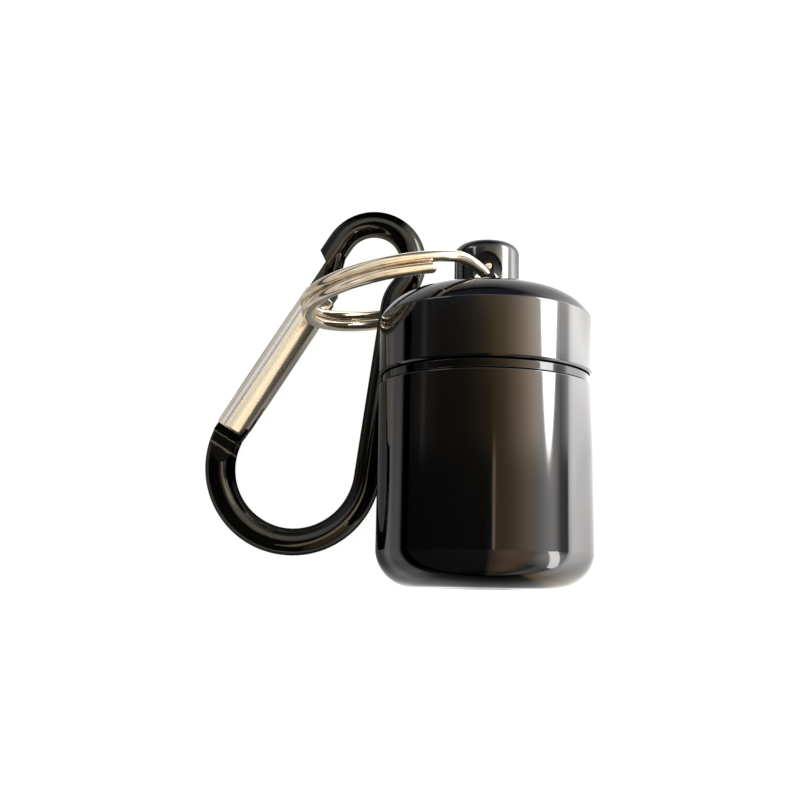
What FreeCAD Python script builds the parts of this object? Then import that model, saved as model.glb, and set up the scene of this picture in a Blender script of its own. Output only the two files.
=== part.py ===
"""Pill fob keychain: a screw-top metal pill capsule on a split ring, with a gourd-shaped snap hook.

The keychain lies on a table. X points right, Y runs up the capsule from its base to its post,
and Z points up from the table. The origin is the centre of the capsule's flat base.
"""
import FreeCAD
import Part
import math
import os
import re
import Sketcher

Vector = FreeCAD.Vector
Rotation = FreeCAD.Rotation
Placement = FreeCAD.Placement

SIZES = {
    # capsule, outside
    "capsule_diameter": 27.0,
    "base_flat_radius": 8.7,
    "base_corner_height": 4.3,
    "shoulder_height": 25.2,
    "rim_chamfer": 0.25,
    "collar_depth": 0.45,
    "collar_height": 0.85,
    "seam_gap": 0.3,
    "cap_side_length": 7.3,
    "cap_dome_height": 3.45,
    "cap_flat_radius": 7.7,
    "post_diameter": 8.4,
    "post_height": 6.6,
    "post_edge_radius": 1.4,
    # capsule, inside
    "cap_wall": 1.2,
    "cap_roof_thickness": 2.0,
    "cap_roof_flat_radius": 7.0,
    "cap_roof_rise": 2.7,
    "thread_clearance": 0.15,
    "neck_wall": 1.4,
    "neck_length": 5.5,
    "neck_chamfer": 0.4,
    "base_thickness": 2.4,
    "bore_corner_radius": 3.0,
    "seal_section": 1.2,
    "seal_groove_depth": 0.95,
    "seal_groove_width": 1.5,
    "seal_clearance": 0.03,
    "seal_bore_clearance": 0.06,
    # split ring through the post
    "ring_hole_diameter": 3.7,
    "ring_hole_rise": 2.55,
    "ring_hole_roll": 3.8,
    "ring_diameter": 25.4,
    "ring_wire_width": 1.55,
    "ring_wire_height": 1.15,
    "ring_coil_gap": 0.45,
    "ring_lean": 11.2,
    "ring_start_angle": 66.0,
    "ring_jog_start_angle": 377.0,
    "ring_jog_end_angle": 410.0,
    "ring_end_angle": 732.0,
    # snap hook frame
    "hook_rod_diameter": 3.6,
    "hinge_rod_diameter": 4.2,
    "hook_spine_length": 23.65,
    "hook_bottom_radius": 9.95,
    "hook_neck_radius": 5.0,
    "hook_eye_radius": 5.4,
    "hook_eye_setback": 3.63,
    "hook_ring_seat": 0.75,
    "hook_ring_gap": 0.25,
    "hook_ring_angle": 8.7,
    "hook_heading": 7.5,
    "hook_side_rise": 1.9,
    "hook_end_rise": 1.9,
    "nose_length": 3.4,
    "nose_step_rise": 4.2,
    "nose_cut_angle": 32.0,
    "nose_swell_rise": 2.6,
    "nose_swell_width": 2.5,
    "nose_swell_thickness": 3.0,
    "nose_swell_root_diameter": 3.2,
    "nose_swell_inset": 0.1,
    # gate and its mechanism
    "gate_lean": 24.3,
    "gate_diameter": 4.6,
    "gate_length": 22.1,
    "gate_end_chamfer": 0.25,
    "gate_slot_width": 1.8,
    "tongue_thickness": 1.5,
    "tongue_half_width": 1.95,
    "tongue_reach": 3.5,
    "tongue_tip_radius": 0.8,
    "tongue_flare_rise": 1.1,
    "tongue_root_rise": 5.1,
    "latch_slot_depth": 4.2,
    "catch_pin_diameter": 1.1,
    "catch_pin_inset": 1.6,
    "catch_clearance": 0.3,
    "rivet_diameter": 1.3,
    "rivet_clearance": 0.05,
    "rivet_inset": 2.4,
    "rivet_rise": 2.0,
    "hinge_slot_depth": 4.8,
    "hinge_knuckle_radius": 1.65,
    "hinge_knuckle_offset": 0.5,
    "hinge_shoulder_drop": 3.4,
    "hinge_flat_thickness": 2.8,
    "hinge_flat_length": 1.8,
    "hinge_runout_length": 1.7,
    "hinge_foot_inset": 0.5,
    "hinge_notch_depth": 1.27,
    "hinge_notch_start": 1.2,
    "hinge_notch_slope": 0.45,
    "spring_bore_diameter": 2.2,
    "spring_bore_length": 9.0,
    "spring_wire_diameter": 0.28,
    "spring_mean_diameter": 1.6,
    "spring_turns": 6,
    "plunger_tip_diameter": 1.4,
    "plunger_tip_gap": 0.1,
    "plunger_shank_length": 1.6,
    "plunger_head_diameter": 2.0,
    "plunger_head_height": 0.6,
    "plunger_spigot_diameter": 0.9,
    "plunger_spigot_length": 1.0,
    "spring_seat_gap": 0.05,
}

doc = FreeCAD.newDocument("pill_fob_keychain")
sheet = doc.addObject("Spreadsheet::Sheet", "sizes")
for row, (alias, number) in enumerate(SIZES.items(), start=1):
    sheet.set(f"A{row}", alias)
    sheet.set(f"B{row}", str(number))
    sheet.setAlias(f"B{row}", alias)
doc.recompute()


def size(alias):
    """A driving dimension of the size sheet."""
    return float(sheet.get(alias))


def tied(text):
    """A size expression with every alias written as a cell of the size sheet."""
    return re.sub(r"[a-z_]+", lambda word: f"sizes.{word[0]}" if word[0] in SIZES else word[0], text)


def number_of(text):
    """The value of a size expression."""
    return float(sheet.evalExpression(tied(text)))


def new_body(label):
    """An empty body whose label names its file."""
    body = doc.addObject("PartDesign::Body", label)
    body.Label = label
    return body


def new_sketch(body, name, plane):
    """A sketch on one of the body's own origin planes."""
    sketch = body.newObject("Sketcher::SketchObject", name)
    support = next(item for item in body.Origin.OriginFeatures if item.Role == plane)
    sketch.AttachmentSupport = (support, [""])
    sketch.MapMode = "FlatFace"
    return sketch


def hold_point(sketch, edge, end, corner):
    """Tie one end of an edge to its distances from the sketch's origin."""
    for axis, kind, text in ((-2, "DistanceX", corner[0]), (-1, "DistanceY", corner[1])):
        if text == "0":
            sketch.addConstraint(Sketcher.Constraint("PointOnObject", edge, end, axis))
        else:
            index = sketch.addConstraint(Sketcher.Constraint(kind, -1, 1, edge, end, number_of(text)))
            sketch.setExpression(f"Constraints[{index}]", tied(text))


HALF_CIRCLE = "half circle"


def draw_outline(sketch, corners, bends=None):
    """Draw a closed outline through corners given as pairs of size expressions.

    bends gives, for the edge that follows a corner, the radius expression of an arc and the way
    it turns: 1 for left and -1 for right. A HALF_CIRCLE has both ends on one of the sketch's axes.
    """
    bends = bends or {}
    points = [Vector(number_of(x), number_of(y), 0) for x, y in corners]
    start_ends = []
    for index, start in enumerate(points):
        finish = points[(index + 1) % len(points)]
        if index in bends:
            text, turn = bends[index]
            half = (finish - start) * 0.5
            radius = half.Length if text == HALF_CIRCLE else number_of(text)
            side = Vector(-half.y, half.x, 0).normalize() * turn
            middle = start + half + side * math.sqrt(max(radius**2 - half.Length**2, 0.0))
            first, last = (start, finish) if turn > 0 else (finish, start)
            first_angle = math.atan2(first.y - middle.y, first.x - middle.x)
            last_angle = math.atan2(last.y - middle.y, last.x - middle.x)
            circle = Part.Circle(middle, Vector(0, 0, 1), radius)
            edge = sketch.addGeometry(Part.ArcOfCircle(circle, first_angle, last_angle), False)
            if text == HALF_CIRCLE:
                axis = -2 if corners[index][0] == "0" else -1
                sketch.addConstraint(Sketcher.Constraint("PointOnObject", edge, 3, axis))
            else:
                rule = sketch.addConstraint(Sketcher.Constraint("Radius", edge, radius))
                sketch.setExpression(f"Constraints[{rule}]", tied(text))
            start_ends.append((edge, 1, 2) if turn > 0 else (edge, 2, 1))
        else:
            edge = sketch.addGeometry(Part.LineSegment(start, finish), False)
            start_ends.append((edge, 1, 2))
    for index, (edge, start_end, finish_end) in enumerate(start_ends):
        following, following_start, _ = start_ends[(index + 1) % len(start_ends)]
        sketch.addConstraint(Sketcher.Constraint("Coincident", edge, finish_end, following, following_start))
        hold_point(sketch, edge, start_end, corners[index])


def draw_circle(sketch, centre, diameter):
    """Draw a circle whose centre and diameter are size expressions."""
    middle = Vector(number_of(centre[0]), number_of(centre[1]), 0)
    edge = sketch.addGeometry(Part.Circle(middle, Vector(0, 0, 1), number_of(diameter) / 2), False)
    hold_point(sketch, edge, 3, centre)
    rule = sketch.addConstraint(Sketcher.Constraint("Diameter", edge, number_of(diameter)))
    sketch.setExpression(f"Constraints[{rule}]", tied(diameter))


def turn_solid(body, name, sketch, kind="PartDesign::Revolution"):
    """Turn a sketch once round the sketch's own vertical axis."""
    feature = body.newObject(kind, name)
    feature.Profile = sketch
    feature.ReferenceAxis = (sketch, ["V_Axis"])
    feature.Angle = 360.0
    return feature


def cut_through(body, name, sketch):
    """Cut a sketch right through the body, both ways."""
    pocket = body.newObject("PartDesign::Pocket", name)
    pocket.Profile = sketch
    pocket.Type = "ThroughAll"
    pocket.Midplane = True
    return pocket


def arc_expression(width, height):
    """Radius of an arc that leaves a flat level and reaches the given width and height."""
    return f"( ( {width} ) ^ 2 + ( {height} ) ^ 2 ) / ( 2 * ( {height} ) )"


# Shared capsule radii and heights, as size expressions
OUTER = "capsule_diameter / 2"
COLLAR = "capsule_diameter / 2 - collar_depth"
COLLAR_TOP = "shoulder_height + collar_height"
RIM = "shoulder_height + collar_height + seam_gap"
THREAD_BORE = "capsule_diameter / 2 - cap_wall"
NECK = "capsule_diameter / 2 - cap_wall - thread_clearance"
NECK_TOP = "shoulder_height + collar_height + neck_length"
GROOVE = NECK + " - seal_groove_depth"
GROOVE_TOP = "shoulder_height + collar_height + seal_groove_width"
SEAL_BORE = GROOVE + " + seal_clearance + seal_section + seal_bore_clearance"
SEAL_BORE_TOP = GROOVE_TOP + " + seal_clearance"
BORE = NECK + " - neck_wall"
CREASE = RIM + " + cap_side_length"
CAP_TOP = RIM + " + cap_side_length + cap_dome_height"
ROOF = CAP_TOP + " - cap_roof_thickness"
POST = "post_diameter / 2"
POST_TOP = CAP_TOP + " + post_height"
RING_HOLE = CAP_TOP + " + ring_hole_rise"


def make_capsule_body():
    """Turned cup with a rounded base, a stepped collar at the seam and a necked mouth."""
    body = new_body("capsule_body")
    profile = new_sketch(body, "capsule_body_profile", "XY_Plane")
    corners = [
        ("0", "0"),
        ("base_flat_radius", "0"),
        (OUTER, "base_corner_height"),
        (OUTER, "shoulder_height - rim_chamfer"),
        (OUTER + " - rim_chamfer", "shoulder_height"),
        (COLLAR, "shoulder_height"),
        (COLLAR, COLLAR_TOP),
        (GROOVE, COLLAR_TOP),
        (GROOVE, GROOVE_TOP),
        (NECK, GROOVE_TOP),
        (NECK, NECK_TOP + " - neck_chamfer"),
        (NECK + " - neck_chamfer", NECK_TOP),
        (BORE, NECK_TOP),
        (BORE, "base_thickness + bore_corner_radius"),
        (BORE + " - bore_corner_radius", "base_thickness"),
        ("0", "base_thickness"),
    ]
    bends = {
        1: (arc_expression(OUTER + " - base_flat_radius", "base_corner_height"), 1),
        13: ("bore_corner_radius", -1),
    }
    draw_outline(profile, corners, bends)
    turn_solid(body, "capsule_body_turning", profile)
    return body


def make_capsule_cap():
    """Turned screw cap with a domed shoulder and a post cross-drilled for the ring."""
    body = new_body("capsule_cap")
    profile = new_sketch(body, "capsule_cap_profile", "XY_Plane")
    corners = [
        (SEAL_BORE, RIM),
        (OUTER + " - rim_chamfer", RIM),
        (OUTER, RIM + " + rim_chamfer"),
        (OUTER, CREASE),
        ("cap_flat_radius", CAP_TOP),
        (POST, CAP_TOP),
        (POST, POST_TOP + " - post_edge_radius"),
        (POST + " - post_edge_radius", POST_TOP),
        ("0", POST_TOP),
        ("0", ROOF),
        ("cap_roof_flat_radius", ROOF),
        (THREAD_BORE, ROOF + " - cap_roof_rise"),
        (THREAD_BORE, SEAL_BORE_TOP),
        (SEAL_BORE, SEAL_BORE_TOP),
    ]
    bends = {
        3: (arc_expression(OUTER + " - cap_flat_radius", "cap_dome_height"), 1),
        6: ("post_edge_radius", 1),
        10: (arc_expression(THREAD_BORE + " - cap_roof_flat_radius", "cap_roof_rise"), -1),
    }
    draw_outline(profile, corners, bends)
    turn_solid(body, "capsule_cap_turning", profile)
    hole = new_sketch(body, "ring_hole_outline", "XY_Plane")
    draw_circle(hole, ("0", RING_HOLE), "ring_hole_diameter")
    cut_through(body, "ring_hole", hole)
    # The cap is screwed home with its hole a little off upright
    body.Placement = Placement(Vector(), Rotation(Vector(0, 1, 0), -size("ring_hole_roll")))
    return body


def make_neck_seal():
    """Rubber ring in the groove of the neck."""
    body = new_body("neck_seal")
    profile = new_sketch(body, "neck_seal_section", "XY_Plane")
    middle = (GROOVE + " + seal_clearance + seal_section / 2", COLLAR_TOP + " + seal_groove_width / 2")
    draw_circle(profile, middle, "seal_section")
    turn_solid(body, "neck_seal_ring", profile)
    return body


def make_part(label, shape, placement):
    """A sub-part whose shape is worked out from the size sheet."""
    part = doc.addObject("Part::Feature", label)
    part.Label = label
    part.Shape = shape
    part.Placement = placement
    return part


def arc_edge(start, heading, finish):
    """Arc that leaves start along heading and ends at finish."""
    chord = finish - start
    along = Vector(chord).normalize()
    across = heading - along * heading.dot(along)
    if across.Length < 1e-9:
        return Part.LineSegment(start, finish).toShape()
    half_turn = math.acos(max(-1.0, min(1.0, heading.dot(along))))
    bow = across.normalize() * (chord.Length / 2 * math.tan(half_turn / 2))
    return Part.Arc(start, start + chord * 0.5 + bow, finish).toShape()


def biarc_edges(start, start_heading, finish, finish_heading):
    """Two arcs that join two points and meet both headings."""
    chord = finish - start
    both = start_heading + finish_heading
    spread = 2 * (1 - start_heading.dot(finish_heading))
    lead = chord.dot(both)
    if spread < 1e-9:
        reach = chord.dot(chord) / (2 * lead)
    else:
        reach = (math.sqrt(lead**2 + spread * chord.dot(chord)) - lead) / spread
    knot = (start + finish + (start_heading - finish_heading) * reach) * 0.5
    first = arc_edge(start, start_heading, knot)
    knot_heading = first.tangentAt(first.LastParameter).normalize()
    return [first, arc_edge(knot, knot_heading, finish)]


def wire_of(edges):
    """One path from edges that follow each other."""
    return Part.Wire(Part.__sortEdges__(edges))


def pipe(path, sections):
    """Solid swept along a path."""
    return path.makePipeShell(sections, True, False)


def least_gap(path, turn_length, thickness, steps=900):
    """Least clear space between the turns of a wound path."""
    points = path.discretize(steps)
    spacing = path.Length / (steps - 1)
    apart = int(0.5 * turn_length / spacing)
    nearest = min(
        (points[i] - points[j]).Length
        for i in range(0, steps, 3)
        for j in range(i + apart, steps)
    )
    return nearest - thickness


def ring_frame():
    """Frame of the split ring: origin in the post's hole, X outward, Z along the hole."""
    roll = Rotation(Vector(0, 1, 0), -size("ring_hole_roll"))
    # X first points left from the post, and then leans towards the capsule's base
    lean = Rotation(Vector(0, 0, 1), 180.0 + size("ring_lean"))
    return Placement(Vector(0, number_of(RING_HOLE), 0), roll.multiply(lean))


def ring_centre_reach():
    """Distance from the hole's axis to the ring's centre, with the bowed wire centred in the hole."""
    mean_radius = (size("ring_diameter") - size("ring_wire_width")) / 2
    bow = mean_radius - math.sqrt(mean_radius**2 - (size("post_diameter") / 2) ** 2)
    return mean_radius - bow / 2


def make_split_ring():
    """Key ring of flattened wire: almost two turns that lie side by side, with a jog between them."""
    width = size("ring_wire_width")
    height = size("ring_wire_height")
    mean_radius = (size("ring_diameter") - width) / 2
    layer = (height + size("ring_coil_gap")) / 2
    reach = ring_centre_reach()

    def point(angle, offset):
        turn = math.radians(angle)
        return Vector(reach - mean_radius * math.cos(turn), offset, mean_radius * math.sin(turn))

    def heading(angle):
        turn = math.radians(angle)
        return Vector(math.sin(turn), 0, math.cos(turn))

    def flat_turn(first, last, offset):
        middle = (first + last) / 2
        halves = ((first, middle), (middle, last))
        return [
            Part.Arc(point(a, offset), point((a + b) / 2, offset), point(b, offset)).toShape()
            for a, b in halves
        ]

    start = size("ring_start_angle")
    jog_start = size("ring_jog_start_angle")
    jog_end = size("ring_jog_end_angle")
    end = size("ring_end_angle")
    edges = flat_turn(start, jog_start, layer)
    jog = (point(jog_start, layer), heading(jog_start), point(jog_end, -layer), heading(jog_end))
    edges += biarc_edges(*jog)
    edges += flat_turn(jog_end, end, -layer)
    path = wire_of(edges)

    # Stadium section: flat sides face the other turn, round edges face in and out
    outward = Vector(-math.cos(math.radians(start)), 0, math.sin(math.radians(start)))
    side = Vector(0, 1, 0)
    middle = point(start, layer)
    flat = width / 2 - height / 2
    corner = [
        middle + outward * (flat * a) + side * (height / 2 * b)
        for a, b in ((-1, -1), (1, -1), (1, 1), (-1, 1))
    ]
    section = Part.Wire([
        Part.LineSegment(corner[0], corner[1]).toShape(),
        Part.Arc(corner[1], middle + outward * (width / 2), corner[2]).toShape(),
        Part.LineSegment(corner[2], corner[3]).toShape(),
        Part.Arc(corner[3], middle - outward * (width / 2), corner[0]).toShape(),
    ])
    turn_gap = least_gap(path, 2 * math.pi * mean_radius, height)
    print("split ring, least gap between turns:", round(turn_gap, 3))
    return make_part("split_ring", pipe(path, [section]), ring_frame())


def hook_frame_placement():
    """Frame of the hook: origin where the spine rests in the ring, Y up the spine, Z out of its plane."""
    ring = ring_frame()
    inner = size("ring_diameter") / 2 - size("ring_wire_width")
    drop = inner - size("hook_rod_diameter") / 2 - size("hook_ring_gap")
    angle = math.radians(size("hook_ring_angle"))
    seat = Vector(ring_centre_reach() + drop * math.sin(angle), 0, -drop * math.cos(angle))
    turn = Rotation(-size("hook_heading"), -size("hook_side_rise"), size("hook_end_rise"))
    return Placement(ring.multVec(seat), turn)


def bottom_centre():
    """Centre of the hook's round end, in the hook's frame."""
    return Vector(-size("hook_bottom_radius"), size("hook_ring_seat") - size("hook_spine_length"), 0)


def gate_frame():
    """Frame of the gate in the hook's frame: origin at the rivet, X into the hook, Y up the gate."""
    lean = math.radians(size("gate_lean"))
    up = Vector(math.sin(lean), math.cos(lean), 0)
    tangent = bottom_centre() + Vector(-math.cos(lean), math.sin(lean), 0) * size("hook_bottom_radius")
    return Placement(tangent + up * size("rivet_rise"), Rotation(Vector(0, 0, 1), -size("gate_lean")))


def gate_placement():
    """Where the pieces of the gate lie."""
    return hook_frame_placement().multiply(gate_frame())


# Shared heights above the rivet along the gate, as size expressions
GATE_TOP = "gate_length - rivet_inset"
PIN_HEIGHT = "gate_length - rivet_inset - catch_pin_inset"
TONGUE_TIP = "gate_length - rivet_inset - tongue_reach"
NOSE_END = "gate_length - rivet_inset + tongue_root_rise - nose_length"
BORE_END = "hinge_slot_depth - rivet_inset + spring_bore_length"


def circle_wire(middle, normal, diameter):
    """Round section of a rod."""
    return Part.Wire(Part.Circle(middle, normal, diameter / 2).toShape())


def hook_rod_paths():
    """Paths of the hook's rod: from the bottom to the nose, and from the bottom to the hinge."""
    lean = math.radians(size("gate_lean"))
    radius = size("hook_bottom_radius")
    centre = bottom_centre()
    neck = size("hook_neck_radius")
    eye = size("hook_eye_radius")
    # The neck bends out by the angle at which its arc meets the eye's arc
    swing = math.acos((neck + size("hook_eye_setback")) / (neck + eye))
    neck_start = Vector(0, size("hook_ring_seat"), 0)
    neck_end = neck_start + Vector(neck * (1 - math.cos(swing)), neck * math.sin(swing), 0)
    eye_centre = Vector(-size("hook_eye_setback"), neck_end.y + eye * math.sin(swing), 0)
    eye_end = eye_centre + Vector(-math.cos(lean), math.sin(lean), 0) * eye
    # The straight nose follows the gate, so that the tongue's root stays in the rod
    gate = gate_frame()
    nose_line = gate.inverse().multVec(eye_end).x
    nose = gate.multVec(Vector(nose_line, number_of(NOSE_END), 0))

    bottom = centre + Vector(0, -radius, 0)
    spine_foot = centre + Vector(radius, 0, 0)
    up = Vector(0, 1, 0)
    # The eye's arc is over a half circle, so it is drawn in two
    eye_top = eye_centre + Vector(0, eye, 0)
    neck_heading = Vector(math.sin(swing), math.cos(swing), 0)
    main = [
        arc_edge(bottom, Vector(1, 0, 0), spine_foot),
        Part.LineSegment(spine_foot, neck_start).toShape(),
        arc_edge(neck_start, up, neck_end),
        arc_edge(neck_end, neck_heading, eye_top),
        arc_edge(eye_top, Vector(-1, 0, 0), eye_end),
        Part.LineSegment(eye_end, nose).toShape(),
    ]
    # The rod stops short of the rivet, at the shoulder of the hinge
    stop = lean - (size("hinge_shoulder_drop") - size("rivet_rise")) / radius
    hinge_end = centre + Vector(-math.cos(stop), math.sin(stop), 0) * radius
    hinge = [arc_edge(bottom, Vector(-1, 0, 0), hinge_end)]
    hinge_heading = Vector(math.sin(stop), math.cos(stop), 0)
    return wire_of(main), wire_of(hinge), bottom, hinge_end, hinge_heading, nose_line


def plate(name, outline, bends, thickness):
    """Flat plate in the gate's frame, half above and half below the hook's middle plane."""
    sketch = doc.addObject("Sketcher::SketchObject", name + "_outline")
    draw_outline(sketch, outline, bends)
    solid = doc.addObject("Part::Extrusion", name)
    solid.Base = sketch
    solid.DirMode = "Custom"
    solid.Dir = Vector(0, 0, 1)
    solid.Solid = True
    solid.Symmetric = True
    solid.setExpression("LengthFwd", tied(thickness))
    solid.Placement = gate_frame()
    return solid


def make_nose_tongue():
    """Flat tongue on the nose that goes into the gate's slot, with a notch that catches the pin."""
    outline = [
        ("0 - tongue_half_width", TONGUE_TIP + " + tongue_tip_radius"),
        ("0 - tongue_half_width + tongue_tip_radius", TONGUE_TIP),
        ("tongue_half_width - tongue_tip_radius", TONGUE_TIP),
        ("tongue_half_width", TONGUE_TIP + " + tongue_tip_radius"),
        ("tongue_half_width", PIN_HEIGHT + " - catch_pin_diameter / 2 - catch_clearance"),
        ("0", PIN_HEIGHT + " - catch_pin_diameter / 2 - catch_clearance"),
        ("0", PIN_HEIGHT + " + catch_pin_diameter / 2 + catch_clearance"),
        ("tongue_half_width", PIN_HEIGHT + " + catch_pin_diameter / 2 + catch_clearance"),
        ("tongue_half_width", GATE_TOP + " + tongue_flare_rise"),
        ("0", GATE_TOP + " + tongue_root_rise"),
        ("0 - tongue_half_width", GATE_TOP + " + tongue_root_rise"),
    ]
    bends = {0: ("tongue_tip_radius", 1), 2: ("tongue_tip_radius", 1), 5: (HALF_CIRCLE, -1)}
    return plate("nose_tongue", outline, bends, "tongue_thickness")


def oval_wire(height, middle, half_width, half_thickness):
    """Oval section across the nose, at a height in the gate's frame."""
    turns = [math.radians(angle) for angle in range(0, 360, 30)]
    points = [
        Vector(middle + half_width * math.cos(turn), height, half_thickness * math.sin(turn))
        for turn in turns
    ]
    curve = Part.BSplineCurve()
    curve.interpolate(points, True)
    return Part.Wire(curve.toShape())


def make_nose_swell(nose_line):
    """Swelling where the nose's round rod is pressed down to the flat tongue."""
    inset = size("nose_swell_inset")
    step = number_of(GATE_TOP + " + nose_step_rise")
    outer = inset - size("tongue_half_width")
    root = size("nose_swell_root_diameter") / 2
    half_width = size("nose_swell_width") / 2
    flare = number_of(GATE_TOP + " + tongue_flare_rise")
    sections = [
        oval_wire(step + size("nose_swell_rise"), nose_line, root, root),
        oval_wire(step, outer + half_width, half_width, size("nose_swell_thickness") / 2),
        oval_wire(flare, 0, -outer, size("tongue_thickness") / 2 - inset),
    ]
    return make_part("nose_swell", Part.makeLoft(sections, True, False), gate_frame())


def make_hinge_tongue():
    """Flat hinge tongue with a knuckle set off from the rivet, so that it works the plunger as a cam."""
    knuckle_in = "hinge_knuckle_offset + hinge_knuckle_radius"
    knuckle_out = "hinge_knuckle_offset - hinge_knuckle_radius"
    foot = "0 - hinge_shoulder_drop - hinge_flat_length"
    outline = [
        (knuckle_in, "0"),
        (knuckle_out, "0"),
        ("0 - tongue_half_width", "0 - rivet_inset"),
        ("0 - tongue_half_width", "0 - hinge_shoulder_drop"),
        ("hinge_foot_inset - tongue_half_width", foot),
        ("tongue_half_width", foot),
    ]
    return plate("hinge_tongue", outline, {0: (HALF_CIRCLE, 1)}, "tongue_thickness")


def rivet_bore(name, diameter):
    """Round cutter on the rivet's axis."""
    cutter = doc.addObject("Part::Cylinder", name)
    cutter.setExpression("Radius", tied(f"( {diameter} ) / 2"))
    cutter.setExpression("Height", tied("2 * gate_diameter"))
    cutter.Placement = gate_frame().multiply(Placement(Vector(0, 0, -size("gate_diameter")), Rotation()))
    return cutter


def make_hinge_flats():
    """Cutters for the milled flats beside the hinge, with sloped run-outs into the round rod."""
    sketch = doc.addObject("Sketcher::SketchObject", "hinge_flats_outline")
    near = "0 - hinge_shoulder_drop + hinge_flat_length"
    step = "0 - hinge_shoulder_drop - hinge_flat_length"
    far = "0 - hinge_shoulder_drop - hinge_flat_length - hinge_runout_length"
    upper = [
        (near, "hinge_flat_thickness / 2"),
        (near, "hinge_rod_diameter"),
        (far, "hinge_rod_diameter"),
        (far, "hinge_rod_diameter / 2"),
        (step, "hinge_flat_thickness / 2"),
    ]
    draw_outline(sketch, upper)
    flat = doc.addObject("Part::Extrusion", "hinge_flat_above")
    flat.Base = sketch
    flat.DirMode = "Custom"
    flat.Dir = Vector(0, 0, 1)
    flat.Solid = True
    flat.Symmetric = True
    flat.setExpression("LengthFwd", tied("3 * hinge_rod_diameter"))
    # The sketch's X runs up the gate and its Y out of the hook's plane
    stand = Placement(Vector(), Rotation(Vector(0, 1, 0), Vector(0, 0, 1), Vector(1, 0, 0), "ZXY"))
    flat.Placement = gate_frame().multiply(stand)
    below = doc.addObject("Part::Mirroring", "hinge_flat_below")
    below.Source = flat
    below.Normal = Vector(0, 0, 1)
    return [flat, below]


def make_nose_cut():
    """Cutter that ends the nose's round rod at a slant."""
    cutter = doc.addObject("Part::Box", "nose_cut")
    side = size("hook_rod_diameter")
    for edge in ("Length", "Width", "Height"):
        cutter.setExpression(edge, tied("4 * hook_rod_diameter"))
    corner = number_of(GATE_TOP + " + nose_step_rise")
    slant = Rotation(Vector(0, 0, 1), -size("nose_cut_angle"))
    pivot = Placement(Vector(-size("tongue_half_width"), corner, 0), slant)
    lower_block = Placement(Vector(-2 * side, -4 * side, -2 * side), Rotation())
    cutter.Placement = gate_frame().multiply(pivot).multiply(lower_block)
    return cutter


def make_hook_frame():
    """Bent rod of the snap hook with its nose tongue and hinge tongue."""
    main_path, hinge_path, bottom, hinge_end, hinge_heading, nose_line = hook_rod_paths()
    rod = size("hook_rod_diameter")
    bottom_section = circle_wire(bottom, Vector(1, 0, 0), rod)
    main_rod = make_part("hook_main_rod", pipe(main_path, [bottom_section]), Placement())
    # The rod thickens towards the hinge, to the size of the gate
    hinge_section = circle_wire(hinge_end, hinge_heading, size("hinge_rod_diameter"))
    hinge_rod = make_part("hook_hinge_rod", pipe(hinge_path, [bottom_section, hinge_section]), Placement())
    rods = doc.addObject("Part::MultiFuse", "hook_rods")
    rods.Shapes = [main_rod, hinge_rod]
    trims = doc.addObject("Part::MultiFuse", "hook_trims")
    trims.Shapes = make_hinge_flats() + [make_nose_cut()]
    trimmed = doc.addObject("Part::Cut", "hook_trimmed_rods")
    trimmed.Base = rods
    trimmed.Tool = trims
    whole = doc.addObject("Part::MultiFuse", "hook_whole")
    whole.Shapes = [trimmed, make_nose_tongue(), make_nose_swell(nose_line), make_hinge_tongue()]
    frame = doc.addObject("Part::Cut", "hook_frame")
    frame.Label = "hook_frame"
    frame.Base = whole
    frame.Tool = rivet_bore("hinge_tongue_bore", "rivet_diameter + 2 * rivet_clearance")
    doc.recompute()
    frame.Placement = hook_frame_placement()
    return frame


def make_gate_sleeve():
    """Round gate bar, slotted at both ends, bored for the spring and relieved beside the hinge."""
    body = new_body("gate_sleeve")
    radius = "gate_diameter / 2"
    profile = new_sketch(body, "gate_profile", "XY_Plane")
    draw_outline(profile, [
        ("0", "0 - rivet_inset"),
        (radius + " - gate_end_chamfer", "0 - rivet_inset"),
        (radius, "0 - rivet_inset + gate_end_chamfer"),
        (radius, GATE_TOP + " - gate_end_chamfer"),
        (radius + " - gate_end_chamfer", GATE_TOP),
        ("0", GATE_TOP),
    ])
    turn_solid(body, "gate_bar", profile)

    slots = {
        "hinge_slot": ("0 - rivet_inset - gate_diameter", "0 - rivet_inset + hinge_slot_depth"),
        "latch_slot": (GATE_TOP + " - latch_slot_depth", GATE_TOP + " + gate_diameter"),
    }
    for name, (low, high) in slots.items():
        slot = new_sketch(body, name + "_outline", "YZ_Plane")
        draw_outline(slot, [
            (low, "0 - gate_slot_width / 2"),
            (high, "0 - gate_slot_width / 2"),
            (high, "gate_slot_width / 2"),
            (low, "gate_slot_width / 2"),
        ])
        cut_through(body, name, slot)

    rivet = new_sketch(body, "rivet_hole_outline", "XY_Plane")
    draw_circle(rivet, ("0", "0"), "rivet_diameter")
    cut_through(body, "rivet_hole", rivet)
    pin = new_sketch(body, "catch_pin_hole_outline", "XY_Plane")
    draw_circle(pin, ("0", PIN_HEIGHT), "catch_pin_diameter")
    cut_through(body, "catch_pin_hole", pin)

    # The inner corner is cut back so that the gate can swing into the hook
    notch = new_sketch(body, "hinge_notch_outline", "XY_Plane")
    notch_top = "0 - rivet_inset + hinge_notch_depth"
    draw_outline(notch, [
        ("hinge_notch_start", "0 - rivet_inset - gate_end_chamfer"),
        ("gate_diameter", "0 - rivet_inset - gate_end_chamfer"),
        ("gate_diameter", notch_top),
        ("hinge_notch_start + hinge_notch_slope", notch_top),
    ])
    cut_through(body, "hinge_notch", notch)

    bore = new_sketch(body, "spring_bore_outline", "XY_Plane")
    draw_outline(bore, [
        ("0", "0"),
        ("spring_bore_diameter / 2", "0"),
        ("spring_bore_diameter / 2", BORE_END),
        ("0", BORE_END),
    ])
    turn_solid(body, "spring_bore", bore, "PartDesign::Groove")
    body.Placement = gate_placement()
    return body


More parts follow.
